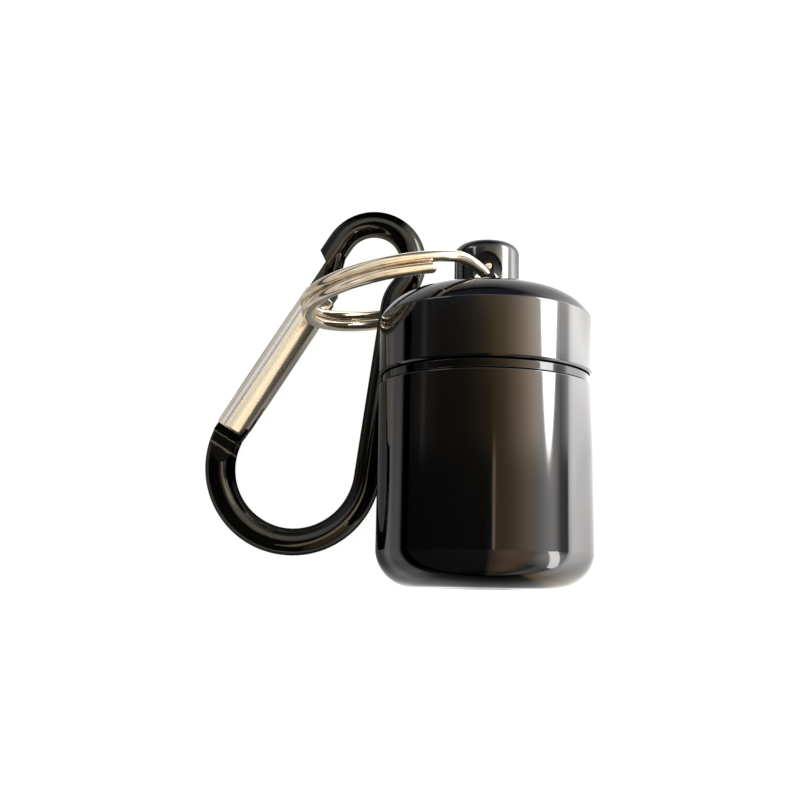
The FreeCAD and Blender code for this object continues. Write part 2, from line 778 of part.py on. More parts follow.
def make_cross_pin(label, height, diameter):
    """Pin across the gate, ground flush with the round of the bar."""
    shaft = doc.addObject("Part::Cylinder", label + "_shaft")
    shaft.setExpression("Radius", tied(f"( {diameter} ) / 2"))
    shaft.setExpression("Height", tied("2 * gate_diameter"))
    shaft.Placement = Placement(Vector(0, number_of(height), -size("gate_diameter")), Rotation())
    round_bar = doc.addObject("Part::Cylinder", label + "_round")
    round_bar.setExpression("Radius", tied("gate_diameter / 2"))
    round_bar.setExpression("Height", tied("2 * gate_length"))
    round_bar.Placement = Placement(Vector(0, -size("gate_length") / 2, 0), Rotation(Vector(1, 0, 0), -90))
    pin = doc.addObject("Part::Common", label)
    pin.Label = label
    pin.Base = shaft
    pin.Tool = round_bar
    doc.recompute()
    pin.Placement = gate_placement()
    return pin


KNUCKLE_TOP = "sqrt( hinge_knuckle_radius ^ 2 - hinge_knuckle_offset ^ 2 )"
TIP = KNUCKLE_TOP + " + plunger_tip_gap"
HEAD = TIP + " + plunger_shank_length"
HEAD_TOP = HEAD + " + plunger_head_height"


def make_spring_plunger():
    """Turned follower in the gate's bore: a round tip on the knuckle, a head and a spigot for the spring."""
    body = new_body("spring_plunger")
    profile = new_sketch(body, "spring_plunger_profile", "XY_Plane")
    corners = [
        ("0", TIP),
        ("plunger_tip_diameter / 2", TIP + " + plunger_tip_diameter / 2"),
        ("plunger_tip_diameter / 2", HEAD),
        ("plunger_head_diameter / 2", HEAD),
        ("plunger_head_diameter / 2", HEAD_TOP),
        ("plunger_spigot_diameter / 2", HEAD_TOP),
        ("plunger_spigot_diameter / 2", HEAD_TOP + " + plunger_spigot_length"),
        ("0", HEAD_TOP + " + plunger_spigot_length"),
    ]
    draw_outline(profile, corners, {0: ("plunger_tip_diameter / 2", 1)})
    turn_solid(body, "spring_plunger_turning", profile)
    body.Placement = gate_placement()
    return body


def make_gate_spring():
    """Closing spring between the plunger's head and the end of the gate's bore."""
    wire = size("spring_wire_diameter")
    radius = size("spring_mean_diameter") / 2
    turns = int(size("spring_turns"))
    low = number_of(HEAD_TOP) + size("spring_seat_gap") + wire / 2
    high = number_of(BORE_END) - size("spring_seat_gap") - wire / 2
    rise = (high - low) / turns
    slope = rise / (2 * math.pi * radius)

    def point(turn):
        angle = 2 * math.pi * turn
        return Vector(radius * math.cos(angle), low + rise * turn, -radius * math.sin(angle))

    def heading(turn):
        angle = 2 * math.pi * turn
        return Vector(-math.sin(angle), slope, -math.cos(angle)).normalize()

    edges = []
    for half in range(2 * turns):
        first = half / 2
        last = first + 0.5
        edges += biarc_edges(point(first), heading(first), point(last), heading(last))
    path = wire_of(edges)
    print("gate spring, least gap between turns:", round(least_gap(path, 2 * math.pi * radius, wire), 3))
    return make_part("gate_spring", pipe(path, [circle_wire(point(0), heading(0), wire)]), gate_placement())


parts = [
    make_capsule_body(),
    make_capsule_cap(),
    make_neck_seal(),
    make_split_ring(),
    make_hook_frame(),
    make_gate_sleeve(),
    make_cross_pin("hinge_rivet", "0", "rivet_diameter"),
    make_cross_pin("catch_pin", PIN_HEIGHT, "catch_pin_diameter"),
    make_spring_plunger(),
    make_gate_spring(),
]
doc.recompute()

for item in doc.Objects:
    if "Invalid" in item.State or "Error" in item.State:
        raise RuntimeError(f"{item.Label} did not build: {item.State}")
for part in parts:
    if part.Shape.isNull() or not part.Shape.isValid():
        raise RuntimeError(f"{part.Label} has no valid shape")

os.makedirs("parts", exist_ok=True)
for part in parts:
    part.Shape.exportStep(f"parts/{part.Label}.step")
    print(part.Label, "solids", len(part.Shape.Solids), "volume", round(part.Shape.Volume, 2))
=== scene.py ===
"""Looks of the pill fob keychain: a polished screw-top pill capsule, a split ring and a snap hook.

The keychain lies on a pale table. X points right, Y runs up the capsule from its base to its
post, and Z points up from the table. The pieces' sizes are in millimetres, and their meshes,
materials and lamps in metres.
"""
import math

import bmesh
import bpy
from mathutils import Matrix, Vector


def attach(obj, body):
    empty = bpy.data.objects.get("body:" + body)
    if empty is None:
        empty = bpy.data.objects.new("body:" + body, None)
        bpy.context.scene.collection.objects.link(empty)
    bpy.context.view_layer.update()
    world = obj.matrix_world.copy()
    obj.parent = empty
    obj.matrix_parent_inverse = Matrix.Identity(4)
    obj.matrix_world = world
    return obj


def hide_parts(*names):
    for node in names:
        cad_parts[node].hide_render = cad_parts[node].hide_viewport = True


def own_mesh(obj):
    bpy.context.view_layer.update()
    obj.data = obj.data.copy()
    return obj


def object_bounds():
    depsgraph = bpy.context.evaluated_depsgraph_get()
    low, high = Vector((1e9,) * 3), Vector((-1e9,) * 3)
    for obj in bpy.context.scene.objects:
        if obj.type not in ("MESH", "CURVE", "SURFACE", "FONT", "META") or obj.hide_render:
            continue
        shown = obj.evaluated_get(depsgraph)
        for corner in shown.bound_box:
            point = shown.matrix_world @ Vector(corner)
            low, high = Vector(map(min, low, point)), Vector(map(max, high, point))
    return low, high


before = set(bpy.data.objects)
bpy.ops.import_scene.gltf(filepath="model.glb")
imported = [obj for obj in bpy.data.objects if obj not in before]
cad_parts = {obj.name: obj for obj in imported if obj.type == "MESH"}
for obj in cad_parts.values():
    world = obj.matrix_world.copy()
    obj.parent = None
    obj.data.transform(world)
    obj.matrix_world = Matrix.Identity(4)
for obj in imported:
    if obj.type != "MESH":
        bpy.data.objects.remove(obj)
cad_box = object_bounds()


# Capsule body: the cup that holds the pills, turned from aluminium bar, plated gunmetal and
# polished like a mirror. A stepped collar stops the cap, and the neck above it carries a thread.

MM = 0.001
CAPSULE_RADIUS = 13.5
BASE_RADIUS = 8.7
BASE_BEND = 4.829
SIDE_FOOT = 4.3
BEVEL = 0.25
COLLAR_RADIUS = 13.05
COLLAR_FOOT = 25.2
COLLAR_TOP = 26.2
LIP_RADIUS = 12.62
SEAL_LEDGE = 26.05
GROOVE_RADIUS = 11.2
NECK_RADIUS = 12.15
NECK_FOOT = 27.55
NECK_TOP = 31.55
MOUTH_CHAMFER = 0.4
HOLLOW_RADIUS = 10.75
HOLLOW_BEND = 3.0
HOLLOW_FLOOR = 2.4
THREAD_PITCH = 1.5
THREAD_DEPTH = 0.42
THREAD_ROW = 0.09
NECK_ROWS = 39
TURNED_COLUMNS = 180


def finish(name, colour, metallic, roughness):
    """A new material with its shader's plain values set; returns it with its node tree and shader."""
    material = bpy.data.materials.new(name)
    material.use_nodes = True
    tree = material.node_tree
    shader = tree.nodes["Principled BSDF"]
    shader.inputs["Base Color"].default_value = (*colour, 1.0)
    shader.inputs["Metallic"].default_value = metallic
    shader.inputs["Roughness"].default_value = roughness
    return material, tree, shader


def add_node(tree, kind, **settings):
    """A new node of a tree; settings name its properties."""
    node = tree.nodes.new(kind)
    for key, value in settings.items():
        setattr(node, key, value)
    return node


def placed_noise(tree, cells, detail=3.0, turn=(0.0, 0.0, 0.0), roughness=0.55):
    """Noise over the piece's own coordinates, with so many cells per metre along X, Y and Z."""
    place = add_node(tree, "ShaderNodeTexCoord")
    stretch = add_node(tree, "ShaderNodeMapping", vector_type="TEXTURE")
    stretch.inputs["Rotation"].default_value = turn
    stretch.inputs["Scale"].default_value = [1.0 / count for count in cells]
    noise = add_node(tree, "ShaderNodeTexNoise")
    noise.inputs["Scale"].default_value = 1.0
    noise.inputs["Detail"].default_value = detail
    noise.inputs["Roughness"].default_value = roughness
    tree.links.new(place.outputs["Object"], stretch.inputs["Vector"])
    tree.links.new(stretch.outputs["Vector"], noise.inputs["Vector"])
    return noise.outputs["Fac"]


NOISE_LOW, NOISE_HIGH = 0.3, 0.7


def between(tree, source, low, high, start=NOISE_LOW, end=NOISE_HIGH):
    """A source from start to end made into numbers from low to high."""
    spread = add_node(tree, "ShaderNodeMapRange")
    spread.inputs["From Min"].default_value = start
    spread.inputs["From Max"].default_value = end
    spread.inputs["To Min"].default_value = low
    spread.inputs["To Max"].default_value = high
    tree.links.new(source, spread.inputs["Value"])
    return spread.outputs["Result"]


def two_tones(tree, noise, first, second):
    """A colour that goes from the first tone to the second with a noise."""
    ramp = add_node(tree, "ShaderNodeValToRGB")
    ramp.color_ramp.elements[0].position = NOISE_LOW
    ramp.color_ramp.elements[0].color = (*first, 1.0)
    ramp.color_ramp.elements[1].position = NOISE_HIGH
    ramp.color_ramp.elements[1].color = (*second, 1.0)
    tree.links.new(noise, ramp.inputs["Fac"])
    return ramp.outputs["Color"]


def relief(tree, shader, source, depth):
    """Fine relief of a source, depth metres high, on a shader's surface."""
    bump = add_node(tree, "ShaderNodeBump")
    bump.inputs["Strength"].default_value = 1.0
    bump.inputs["Distance"].default_value = depth
    tree.links.new(source, bump.inputs["Height"])
    tree.links.new(bump.outputs["Normal"], shader.inputs["Normal"])


def tone_ramp(tree, source, stops):
    """Tones along a source, from stops of its value and the tone there, a grey or a colour."""
    first, last = stops[0][0], stops[-1][0]
    spread = between(tree, source, 0.0, 1.0, first, last)
    ramp = add_node(tree, "ShaderNodeValToRGB")
    while len(ramp.color_ramp.elements) < len(stops):
        ramp.color_ramp.elements.new(1.0)
    for element, (where, tone) in zip(ramp.color_ramp.elements, stops):
        element.position = (where - first) / (last - first)
        element.color = (*tone, 1.0) if isinstance(tone, tuple) else (tone, tone, tone, 1.0)
    tree.links.new(spread, ramp.inputs["Fac"])
    return ramp.outputs["Color"]


def blended(tree, first, second, way):
    """Two tones multiplied or added."""
    both = add_node(tree, "ShaderNodeMix", data_type="RGBA", blend_type=way)
    both.inputs["Factor"].default_value = 1.0
    tree.links.new(first, both.inputs["A"])
    tree.links.new(second, both.inputs["B"])
    return both.outputs["Result"]


gunmetal, tree, shader = finish(
    "polished_gunmetal", colour=(0.12, 0.117, 0.114), metallic=1.0, roughness=0.05)
shader.inputs["Specular Tint"].default_value = (0.6, 0.6, 0.6, 1.0)
turning_lines = placed_noise(tree, cells=(40.0, 9000.0, 40.0), detail=2.0)
smudges = placed_noise(tree, cells=(160.0, 90.0, 160.0), detail=5.0)
plated = two_tones(tree, smudges, (0.114, 0.113, 0.114), (0.126, 0.121, 0.116))
lengthwise = add_node(tree, "ShaderNodeSeparateXYZ")
tree.links.new(add_node(tree, "ShaderNodeTexCoord").outputs["Object"], lengthwise.inputs["Vector"])
# Painted shade: the collar band in the seam between cap and body is darkened, for the shade under the
# cap's rim.
SEAM_SHADE_TONE = 0.6
seam_painted_shade = tone_ramp(tree, lengthwise.outputs["Y"], [
    ((COLLAR_FOOT - 0.4) * MM, 1.0), ((COLLAR_FOOT - 0.05) * MM, 1.0),
    ((COLLAR_FOOT + 0.05) * MM, SEAM_SHADE_TONE), (COLLAR_TOP * MM, SEAM_SHADE_TONE),
    ((COLLAR_TOP + 0.1) * MM, 1.0), ((COLLAR_TOP + 0.5) * MM, 1.0)])
tree.links.new(blended(tree, plated, seam_painted_shade, "MULTIPLY"), shader.inputs["Base Color"])
tree.links.new(between(tree, smudges, 0.06, 0.1), shader.inputs["Roughness"])
relief(tree, shader, turning_lines, depth=0.0004 * MM)


def bow(centre, radius, first, last, steps):
    """Points of an arc in a turning outline; angles in degrees."""
    turns = [math.radians(first + (last - first) * step / steps) for step in range(steps + 1)]
    return [(centre[0] + radius * math.cos(turn), centre[1] + radius * math.sin(turn), 0.0)
            for turn in turns]


def eased(corners, steps=4):
    """A turning outline whose corners (radius, height, ease) are broken by their own small ease."""
    points = []
    for index, (radius, height, ease) in enumerate(corners):
        here = Vector((radius, height))
        if ease == 0.0:
            points.append(here)
            continue
        before = (Vector(corners[index - 1][:2]) - here).normalized() * ease + here
        after = (Vector(corners[index + 1][:2]) - here).normalized() * ease + here
        for step in range(steps + 1):
            t = step / steps
            points.append(before * (1 - t) ** 2 + here * 2 * t * (1 - t) + after * t ** 2)
    return points


def smooth_step(low, high, value):
    """Goes smoothly from 0 at low to 1 at high."""
    t = min(max((value - low) / (high - low), 0.0), 1.0)
    return t * t * (3 - 2 * t)


def thread_cut(height, turn):
    """Depth of the right-hand thread at a height and a turn round the capsule."""
    wave = 0.5 + 0.5 * math.cos(2 * math.pi * height / THREAD_PITCH + turn)
    return THREAD_DEPTH * smooth_step(0.25, 0.75, wave)


def solid_piece(name, points, faces):
    """A smooth mesh piece whose faces all look outwards."""
    mesh = bpy.data.meshes.new(name)
    mesh.from_pydata(points, [], faces)
    mesh.shade_smooth()
    work = bmesh.new()
    work.from_mesh(mesh)
    bmesh.ops.recalc_face_normals(work, faces=work.faces)
    work.to_mesh(mesh)
    work.free()
    piece = bpy.data.objects.new(name, mesh)
    bpy.context.scene.collection.objects.link(piece)
    return piece


def turned(name, corners, columns, thread):
    """A piece turned round the Y axis from an outline that starts and ends on it, in millimetres.

    thread gives the radius at a point of the outline's radius and height and a turn.
    """
    points = []
    rings = []
    for radius, height in eased(corners):
        if radius == 0.0:
            rings.append([len(points)])
            points.append((0.0, height * MM, 0.0))
            continue
        ring = []
        for column in range(columns):
            turn = 2 * math.pi * column / columns
            reach = thread(radius, height, turn) * MM
            ring.append(len(points))
            points.append((reach * math.cos(turn), height * MM, reach * math.sin(turn)))
        rings.append(ring)
    faces = []
    for lower, upper in zip(rings, rings[1:]):
        for column in range(columns):
            following = (column + 1) % columns
            if len(lower) == 1:
                faces.append((lower[0], upper[column], upper[following]))
            elif len(upper) == 1:
                faces.append((lower[column], upper[0], lower[following]))
            else:
                faces.append((lower[column], upper[column], upper[following], lower[following]))
    return solid_piece(name, points, faces)


def even_light(piece):
    """Let the large faces rule the shading, so that a flat or straight side mirrors true."""
    weighted = piece.modifiers.new("even_light", "WEIGHTED_NORMAL")
    weighted.weight = 100
    weighted.keep_sharp = True


def neck_thread(radius, height, turn):
    """The neck's thread runs out above the seal's groove and through the mouth's chamfer."""
    if height < NECK_FOOT + 0.02 or radius < NECK_RADIUS - MOUTH_CHAMFER - 0.01:
        return radius
    run_out = smooth_step(NECK_FOOT, NECK_FOOT + 0.45, height)
    return min(radius, NECK_RADIUS - thread_cut(height, turn) * run_out)


collar = [
    (CAPSULE_RADIUS - BEVEL, COLLAR_FOOT, 0.06), (COLLAR_RADIUS, COLLAR_FOOT, 0.05),
    (COLLAR_RADIUS, COLLAR_FOOT + 0.09, 0.0), (COLLAR_RADIUS, COLLAR_TOP - 0.1, 0.0),
    (COLLAR_RADIUS, COLLAR_TOP, 0.06), (LIP_RADIUS, COLLAR_TOP, 0.04),
    (LIP_RADIUS - 0.06, SEAL_LEDGE, 0.04)]
groove = [
    (GROOVE_RADIUS, SEAL_LEDGE, 0.05), (GROOVE_RADIUS, NECK_FOOT, 0.05), (NECK_RADIUS, NECK_FOOT, 0.05)]
thread_rows = [(NECK_RADIUS, NECK_FOOT + 0.1 + THREAD_ROW * row, 0.0) for row in range(NECK_ROWS)]
mouth = [
    (NECK_RADIUS, NECK_TOP - MOUTH_CHAMFER, 0.0),
    (NECK_RADIUS - MOUTH_CHAMFER / 2, NECK_TOP - MOUTH_CHAMFER / 2, 0.0),
    (NECK_RADIUS - MOUTH_CHAMFER, NECK_TOP, 0.0), (HOLLOW_RADIUS, NECK_TOP, 0.1)]
cup = turned(
    "capsule_cup",
    [(0.0, 0.0, 0.0)]
    + bow((BASE_RADIUS, BASE_BEND), BASE_BEND, -90.0, -8.0, 20)
    + [(CAPSULE_RADIUS, SIDE_FOOT, 0.12), (CAPSULE_RADIUS, COLLAR_FOOT - BEVEL, 0.06)]
    + collar + groove + thread_rows + mouth
    + bow((HOLLOW_RADIUS - HOLLOW_BEND, HOLLOW_FLOOR + HOLLOW_BEND), HOLLOW_BEND, 0.0, -90.0, 12)
    + [(0.0, HOLLOW_FLOOR, 0.0)],
    TURNED_COLUMNS,
    neck_thread,
)
even_light(cup)
cup.data.materials.append(gunmetal)
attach(cup, "capsule")
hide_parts("capsule_body")


# Neck seal: a soft black rubber ring that sits in the groove under the neck's thread and keeps
# the pills dry. It is moulded, so it is matte with a faint bloom.

def dress(node, material):
    """Give a CAD node its finish."""
    node.data.materials.clear()
    node.data.materials.append(material)


rubber, tree, shader = finish("seal_rubber", colour=(0.03, 0.03, 0.03), metallic=0.0, roughness=0.7)
bloom = placed_noise(tree, cells=(700.0, 700.0, 700.0), detail=6.0)
tree.links.new(two_tones(tree, bloom, (0.022, 0.022, 0.023), (0.05, 0.05, 0.05)),
               shader.inputs["Base Color"])
tree.links.new(between(tree, bloom, 0.6, 0.8), shader.inputs["Roughness"])
dress(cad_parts["neck_seal"], rubber)


# Cap: turned from the same bar as the body, with a domed shoulder and a post whose cross hole
# takes the split ring. It screws onto the neck and closes on the collar. The hole's wall is rough,
# and painted near black as shade inside the hole.

CAP_FOOT = 26.35
CAP_SHOULDER = 33.65
CAP_BORE = 12.3
SEAL_BORE = 12.49
SEAL_ROOF = 27.58
BORE_THREAD_FOOT = 27.9
BORE_THREAD_TOP = 32.3
BORE_ROWS = 50
CROWN_RADIUS = 7.0
CROWN_BEND = 6.0
CROWN_TOP = 35.1
DOME_RADIUS = 7.7
DOME_BEND = 6.6
POST_RADIUS = 4.2
POST_FOOT = 37.1
POST_TOP = 43.7
POST_EDGE = 1.4
HOLE_HEIGHT = 39.65
HOLE_RADIUS = 1.85
HOLE_ROLL = math.radians(3.8)
FLARE_RADIUS = 2.3
FLARE_START = 3.75
FLARE_END = 4.4
DRILL_END = 6.0
DRILL_COLUMNS = 64


def cap_thread(radius, height, turn):
    """The cap's ridges stand in the neck's grooves and run out at both ends."""
    if abs(radius - CAP_BORE) > 0.001 or not BORE_THREAD_FOOT < height < BORE_THREAD_TOP:
        return radius
    run_in = smooth_step(BORE_THREAD_FOOT + 0.2, BORE_THREAD_FOOT + 0.7, height)
    run_out = 1 - smooth_step(BORE_THREAD_TOP - 0.6, BORE_THREAD_TOP - 0.1, height)
    return CAP_BORE - thread_cut(height, turn) * (run_in * run_out)


bore_rows = [(CAP_BORE, BORE_THREAD_TOP - THREAD_ROW * row, 0.0) for row in reversed(range(BORE_ROWS))]
cap = turned(
    "screw_cap",
    [(0.0, POST_TOP, 0.0)]
    + bow((POST_RADIUS - POST_EDGE, POST_TOP - POST_EDGE), POST_EDGE, 90.0, 0.0, 10)
    + [(POST_RADIUS, POST_FOOT, 0.18)]
    + bow((DOME_RADIUS, POST_FOOT - DOME_BEND), DOME_BEND, 90.0, 30.0, 24)
    + [(CAPSULE_RADIUS, CAP_SHOULDER, 0.1), (CAPSULE_RADIUS, CAP_FOOT + BEVEL, 0.06),
       (CAPSULE_RADIUS - BEVEL, CAP_FOOT, 0.06), (SEAL_BORE, CAP_FOOT, 0.05),
       (SEAL_BORE, SEAL_ROOF, 0.05), (CAP_BORE, SEAL_ROOF, 0.05)]
    + bore_rows
    + bow((CROWN_RADIUS, CROWN_TOP - CROWN_BEND), CROWN_BEND, 30.0, 90.0, 16)
    + [(0.0, CROWN_TOP, 0.0)],
    TURNED_COLUMNS,
    cap_thread,
)
drill = turned(
    "drill",
    [(0.0, -DRILL_END, 0.0), (FLARE_RADIUS, -DRILL_END, 0.0), (FLARE_RADIUS, -FLARE_END, 0.0),
     (HOLE_RADIUS, -FLARE_START, 0.3), (HOLE_RADIUS, FLARE_START, 0.3),
     (FLARE_RADIUS, FLARE_END, 0.0), (FLARE_RADIUS, DRILL_END, 0.0), (0.0, DRILL_END, 0.0)],
    DRILL_COLUMNS,
    lambda radius, height, turn: radius,
)
drill.matrix_world = (Matrix.Translation((0.0, HOLE_HEIGHT * MM, 0.0))
                      @ Matrix.Rotation(-HOLE_ROLL, 4, "Y")
                      @ Matrix.Rotation(math.radians(90.0), 4, "X"))
drilling = cap.modifiers.new("ring_hole", "BOOLEAN")
drilling.object = drill
drilling.operation = "DIFFERENCE"
drilling.solver = "EXACT"
bpy.context.view_layer.update()
drilled = bpy.data.meshes.new_from_object(cap.evaluated_get(bpy.context.evaluated_depsgraph_get()))
cap.modifiers.clear()
cap.data = drilled
bpy.data.objects.remove(drill)
cap.data.set_sharp_from_angle(angle=math.radians(30.0))
even_light(cap)

# Painted shade: the hole's wall is near black, for the shade inside the hole; it is rough as drilled.
bore, tree, shader = finish("bore_painted_shade", colour=(0.01, 0.01, 0.012), metallic=0.0, roughness=0.6)
shader.inputs["Specular IOR Level"].default_value = 0.15
tool_marks = placed_noise(tree, cells=(1500.0, 1500.0, 6000.0))
tree.links.new(two_tones(tree, tool_marks, (0.006, 0.006, 0.009), (0.014, 0.014, 0.017)),
               shader.inputs["Base Color"])
tree.links.new(between(tree, tool_marks, 0.5, 0.7), shader.inputs["Roughness"])
cap.data.materials.clear()
cap.data.materials.append(gunmetal)
cap.data.materials.append(bore)
hole_middle = Vector((0.0, HOLE_HEIGHT * MM, 0.0))
hole_axis = Matrix.Rotation(-HOLE_ROLL, 3, "Y") @ Vector((0.0, 0.0, 1.0))
for face in cap.data.polygons:
    outward = face.center - hole_middle
    outward -= hole_axis * outward.dot(hole_axis)
    if outward.length < FLARE_RADIUS * MM and face.normal.dot(outward) < 0.0:
        face.material_index = 1
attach(cap, "cap")
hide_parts("capsule_cap")


# Split ring: two turns of flattened steel wire, wound as one spring whose turns lie on each other,
# and nickel plated. It is threaded through the post's hole and round the hook's spine.

RING_WIDTH = 1.55
RING_HEIGHT = 1.32
RING_LAYER = 0.71
RING_RADIUS = 11.925
RING_REACH = 11.543
RING_SWING = math.radians(191.2)
# Degrees of winding
RING_START, JOG_START, JOG_END, RING_END = 66.0, 377.0, 410.0, 732.0
RING_STEP = 2.0
END_EASE = 0.6
END_FULLNESS = 0.82


def wound(name, stations, section):
    """A wire swept through stations of a centre, two side directions and how full the section is."""
    points = []
    rings = []
    for centre, across, along_axis, fullness in stations:
        rings.append(range(len(points), len(points) + len(section)))
        points += [(centre + across * (u * fullness) + along_axis * (v * fullness)) * MM
                   for u, v in section]
    faces = [tuple(rings[0]), tuple(reversed(rings[-1]))]
    for lower, upper in zip(rings, rings[1:]):
        for spot in range(len(section)):
            following = (spot + 1) % len(section)
            faces.append((lower[spot], upper[spot], upper[following], lower[following]))
    piece = solid_piece(name, points, faces)
    piece.data.set_sharp_from_angle(angle=math.radians(50.0))
    return piece


ring_place = (Matrix.Translation((0.0, HOLE_HEIGHT, 0.0)) @ Matrix.Rotation(-HOLE_ROLL, 4, "Y")
              @ Matrix.Rotation(RING_SWING, 4, "Z"))


def ring_station(angle, fullness=1.0):
    """Where the ring's wire is at an angle of its winding."""
    turn = math.radians(angle)
    outward = Vector((-math.cos(turn), 0.0, math.sin(turn)))
    offset = RING_LAYER * (1 - 2 * smooth_step(JOG_START, JOG_END, angle))
    centre = Vector((RING_REACH, offset, 0.0)) + outward * RING_RADIUS
    aim = ring_place.to_3x3()
    return ring_place @ centre, aim @ outward, aim @ Vector((0, 1, 0)), fullness


half_flat = (RING_WIDTH - RING_HEIGHT) / 2
ring_section = [(side * half_flat + RING_HEIGHT / 2 * math.cos(math.radians(turn)),
                 RING_HEIGHT / 2 * math.sin(math.radians(turn)))
                for side, first in ((1, -90), (-1, 90)) for turn in range(first, first + 181, 15)]
ring_steps = round((RING_END - RING_START) / RING_STEP)
ring = wound(
    "split_ring_wire",
    [ring_station(RING_START - END_EASE, END_FULLNESS)]
    + [ring_station(RING_START + RING_STEP * step) for step in range(ring_steps + 1)]
    + [ring_station(RING_END + END_EASE, END_FULLNESS)],
    ring_section,
)

nickel, tree, shader = finish("nickel_plate", colour=(0.86, 0.78, 0.64), metallic=0.95, roughness=0.1)
drawing_lines = placed_noise(tree, cells=(900.0, 900.0, 900.0), detail=4.0)
tree.links.new(two_tones(tree, drawing_lines, (0.72, 0.60, 0.44), (0.86, 0.77, 0.62)),
               shader.inputs["Base Color"])
tree.links.new(between(tree, drawing_lines, 0.06, 0.12), shader.inputs["Roughness"])
ring.data.materials.append(nickel)
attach(ring, "ring")
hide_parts("split_ring")


# Hook frame: one length of aluminium rod bent to a gourd shape, its ends pressed to tongues for
# the gate, anodised black and polished. The milled flats by the hinge are duller, with bare metal
# where the anodising has flaked off at one edge and a painted highlight along the shoulder's edge;
# the cutter's end faces there are painted near black as shade.

GATE_PIVOT = Vector((-32.276159, 22.683763, -10.981457))
GATE_UP = Vector((0.5256728, 0.8495562, 0.0438450))
HOOK_NORMAL = Vector((-0.0371811, -0.0285463, 0.9989007))
GATE_IN = GATE_UP.cross(HOOK_NORMAL)
# Levels up the gate's line from its pivot
CUTTER_FOOT = -8.25
FLATS_FOOT = -5.2
CHIPPED_EDGE = -5.02
SHOULDER_EDGE = -3.6
FLATS_TOP = -3.35
# Reach from the gate's line
HINGE_REACH = 4.5
CHIPS_REACH = 1.65


def distance_along(tree, direction):
    """Distance in metres from the gate's pivot along a direction, over a piece's own coordinates."""
    place = add_node(tree, "ShaderNodeTexCoord")
    from_pivot = add_node(tree, "ShaderNodeVectorMath", operation="SUBTRACT")
    from_pivot.inputs[1].default_value = GATE_PIVOT * MM
    along = add_node(tree, "ShaderNodeVectorMath", operation="DOT_PRODUCT")
    along.inputs[1].default_value = direction
    tree.links.new(place.outputs["Object"], from_pivot.inputs[0])
    tree.links.new(from_pivot.outputs["Vector"], along.inputs[0])
    return along.outputs["Value"]


def reckon(tree, operation, first, second=0.0):
    """What an operation makes of one or two numbers, each a source or a plain value."""
    step = add_node(tree, "ShaderNodeMath", operation=operation)
    for socket, value in zip(step.inputs, (first, second)):
        if isinstance(value, (int, float)):
            socket.default_value = value
        else:
            tree.links.new(value, socket)
    return step.outputs["Value"]


def product(tree, *shares):
    """Shares multiplied with each other."""
    whole = shares[0]
    for share in shares[1:]:
        whole = reckon(tree, "MULTIPLY", whole, share)
    return whole


def beyond(tree, distance, level, blur):
    """1 where a distance in metres is past a level in millimetres, and 0 before it."""
    return between(tree, distance, 0.0, 1.0, (level - blur) * MM, (level + blur) * MM)


def within(tree, distance, level, blur):
    """1 where a distance in metres is short of a level in millimetres, and 0 past it."""
    return between(tree, distance, 1.0, 0.0, (level - blur) * MM, (level + blur) * MM)


def layered(tree, share, under, over):
    """One tone over another by a share; over is a plain tone."""
    mixed = add_node(tree, "ShaderNodeMix", data_type="RGBA")
    tree.links.new(share, mixed.inputs["Factor"])
    tree.links.new(under, mixed.inputs["A"])
    mixed.inputs["B"].default_value = (*over, 1.0)
    return mixed.outputs["Result"]


black, tree, shader = finish(
    "black_anodising", colour=(0.055, 0.053, 0.046), metallic=1.0, roughness=0.08)
shader.inputs["Specular Tint"].default_value = (0.4, 0.4, 0.4, 1.0)
waviness = placed_noise(tree, cells=(500.0, 500.0, 500.0), detail=4.0)
chipping = placed_noise(tree, cells=(2600.0, 2600.0, 2600.0), detail=2.0)
up_gate = distance_along(tree, GATE_UP)
above = reckon(tree, "ABSOLUTE", distance_along(tree, HOOK_NORMAL))
beside = reckon(tree, "ABSOLUTE", distance_along(tree, GATE_IN))
by_hinge = within(tree, beside, HINGE_REACH, 0.5)
ragged = reckon(tree, "ADD", up_gate, between(tree, chipping, -0.07 * MM, 0.07 * MM))
from_edge = reckon(tree, "ABSOLUTE", reckon(tree, "SUBTRACT", ragged, CHIPPED_EDGE * MM))
from_shoulder = reckon(tree, "ABSOLUTE", reckon(tree, "SUBTRACT", ragged, SHOULDER_EDGE * MM))
# The line at the flats' foot is bare metal where the anodising has flaked off; the line at the
# shoulder's edge is a painted highlight.
chips_and_painted_highlight = reckon(tree, "MAXIMUM", within(tree, from_edge, 0.15, 0.05),
                    within(tree, from_shoulder, 0.065, 0.035))
chips_and_highlight = product(tree, chips_and_painted_highlight, by_hinge, within(tree, above, CHIPS_REACH, 0.05))
milled = product(tree, beyond(tree, up_gate, FLATS_FOOT, 0.05), by_hinge,
                 within(tree, up_gate, FLATS_TOP, 0.05))
# Painted shade: by the hinge, the cutter's end faces, which look up the gate, are painted near black.
facing = add_node(tree, "ShaderNodeVectorMath", operation="DOT_PRODUCT")
facing.inputs[1].default_value = GATE_UP
tree.links.new(add_node(tree, "ShaderNodeTexCoord").outputs["Normal"], facing.inputs[0])
cutter_end_painted_shade = product(tree, between(tree, facing.outputs["Value"], 0.0, 1.0, 0.2, 0.3), by_hinge,
                     beyond(tree, up_gate, CUTTER_FOOT, 0.25))
anodised = two_tones(tree, waviness, (0.05, 0.048, 0.041), (0.06, 0.058, 0.05))
anodised = layered(tree, cutter_end_painted_shade, anodised, (0.006, 0.0055, 0.005))
tree.links.new(layered(tree, chips_and_highlight, anodised, (0.22, 0.19, 0.15)), shader.inputs["Base Color"])
dull = reckon(tree, "MAXIMUM", product(tree, milled, 0.14), product(tree, chips_and_highlight, 0.4))
tree.links.new(reckon(tree, "MAXIMUM", dull, between(tree, waviness, 0.05, 0.11)),
               shader.inputs["Roughness"])
dress(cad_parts["hook_frame"], black)


# Gate: a slotted aluminium sleeve left bare and brushed along its length. It turns on a rivet
# in the hook's hinge tongue, and its cross pin catches on the nose tongue.

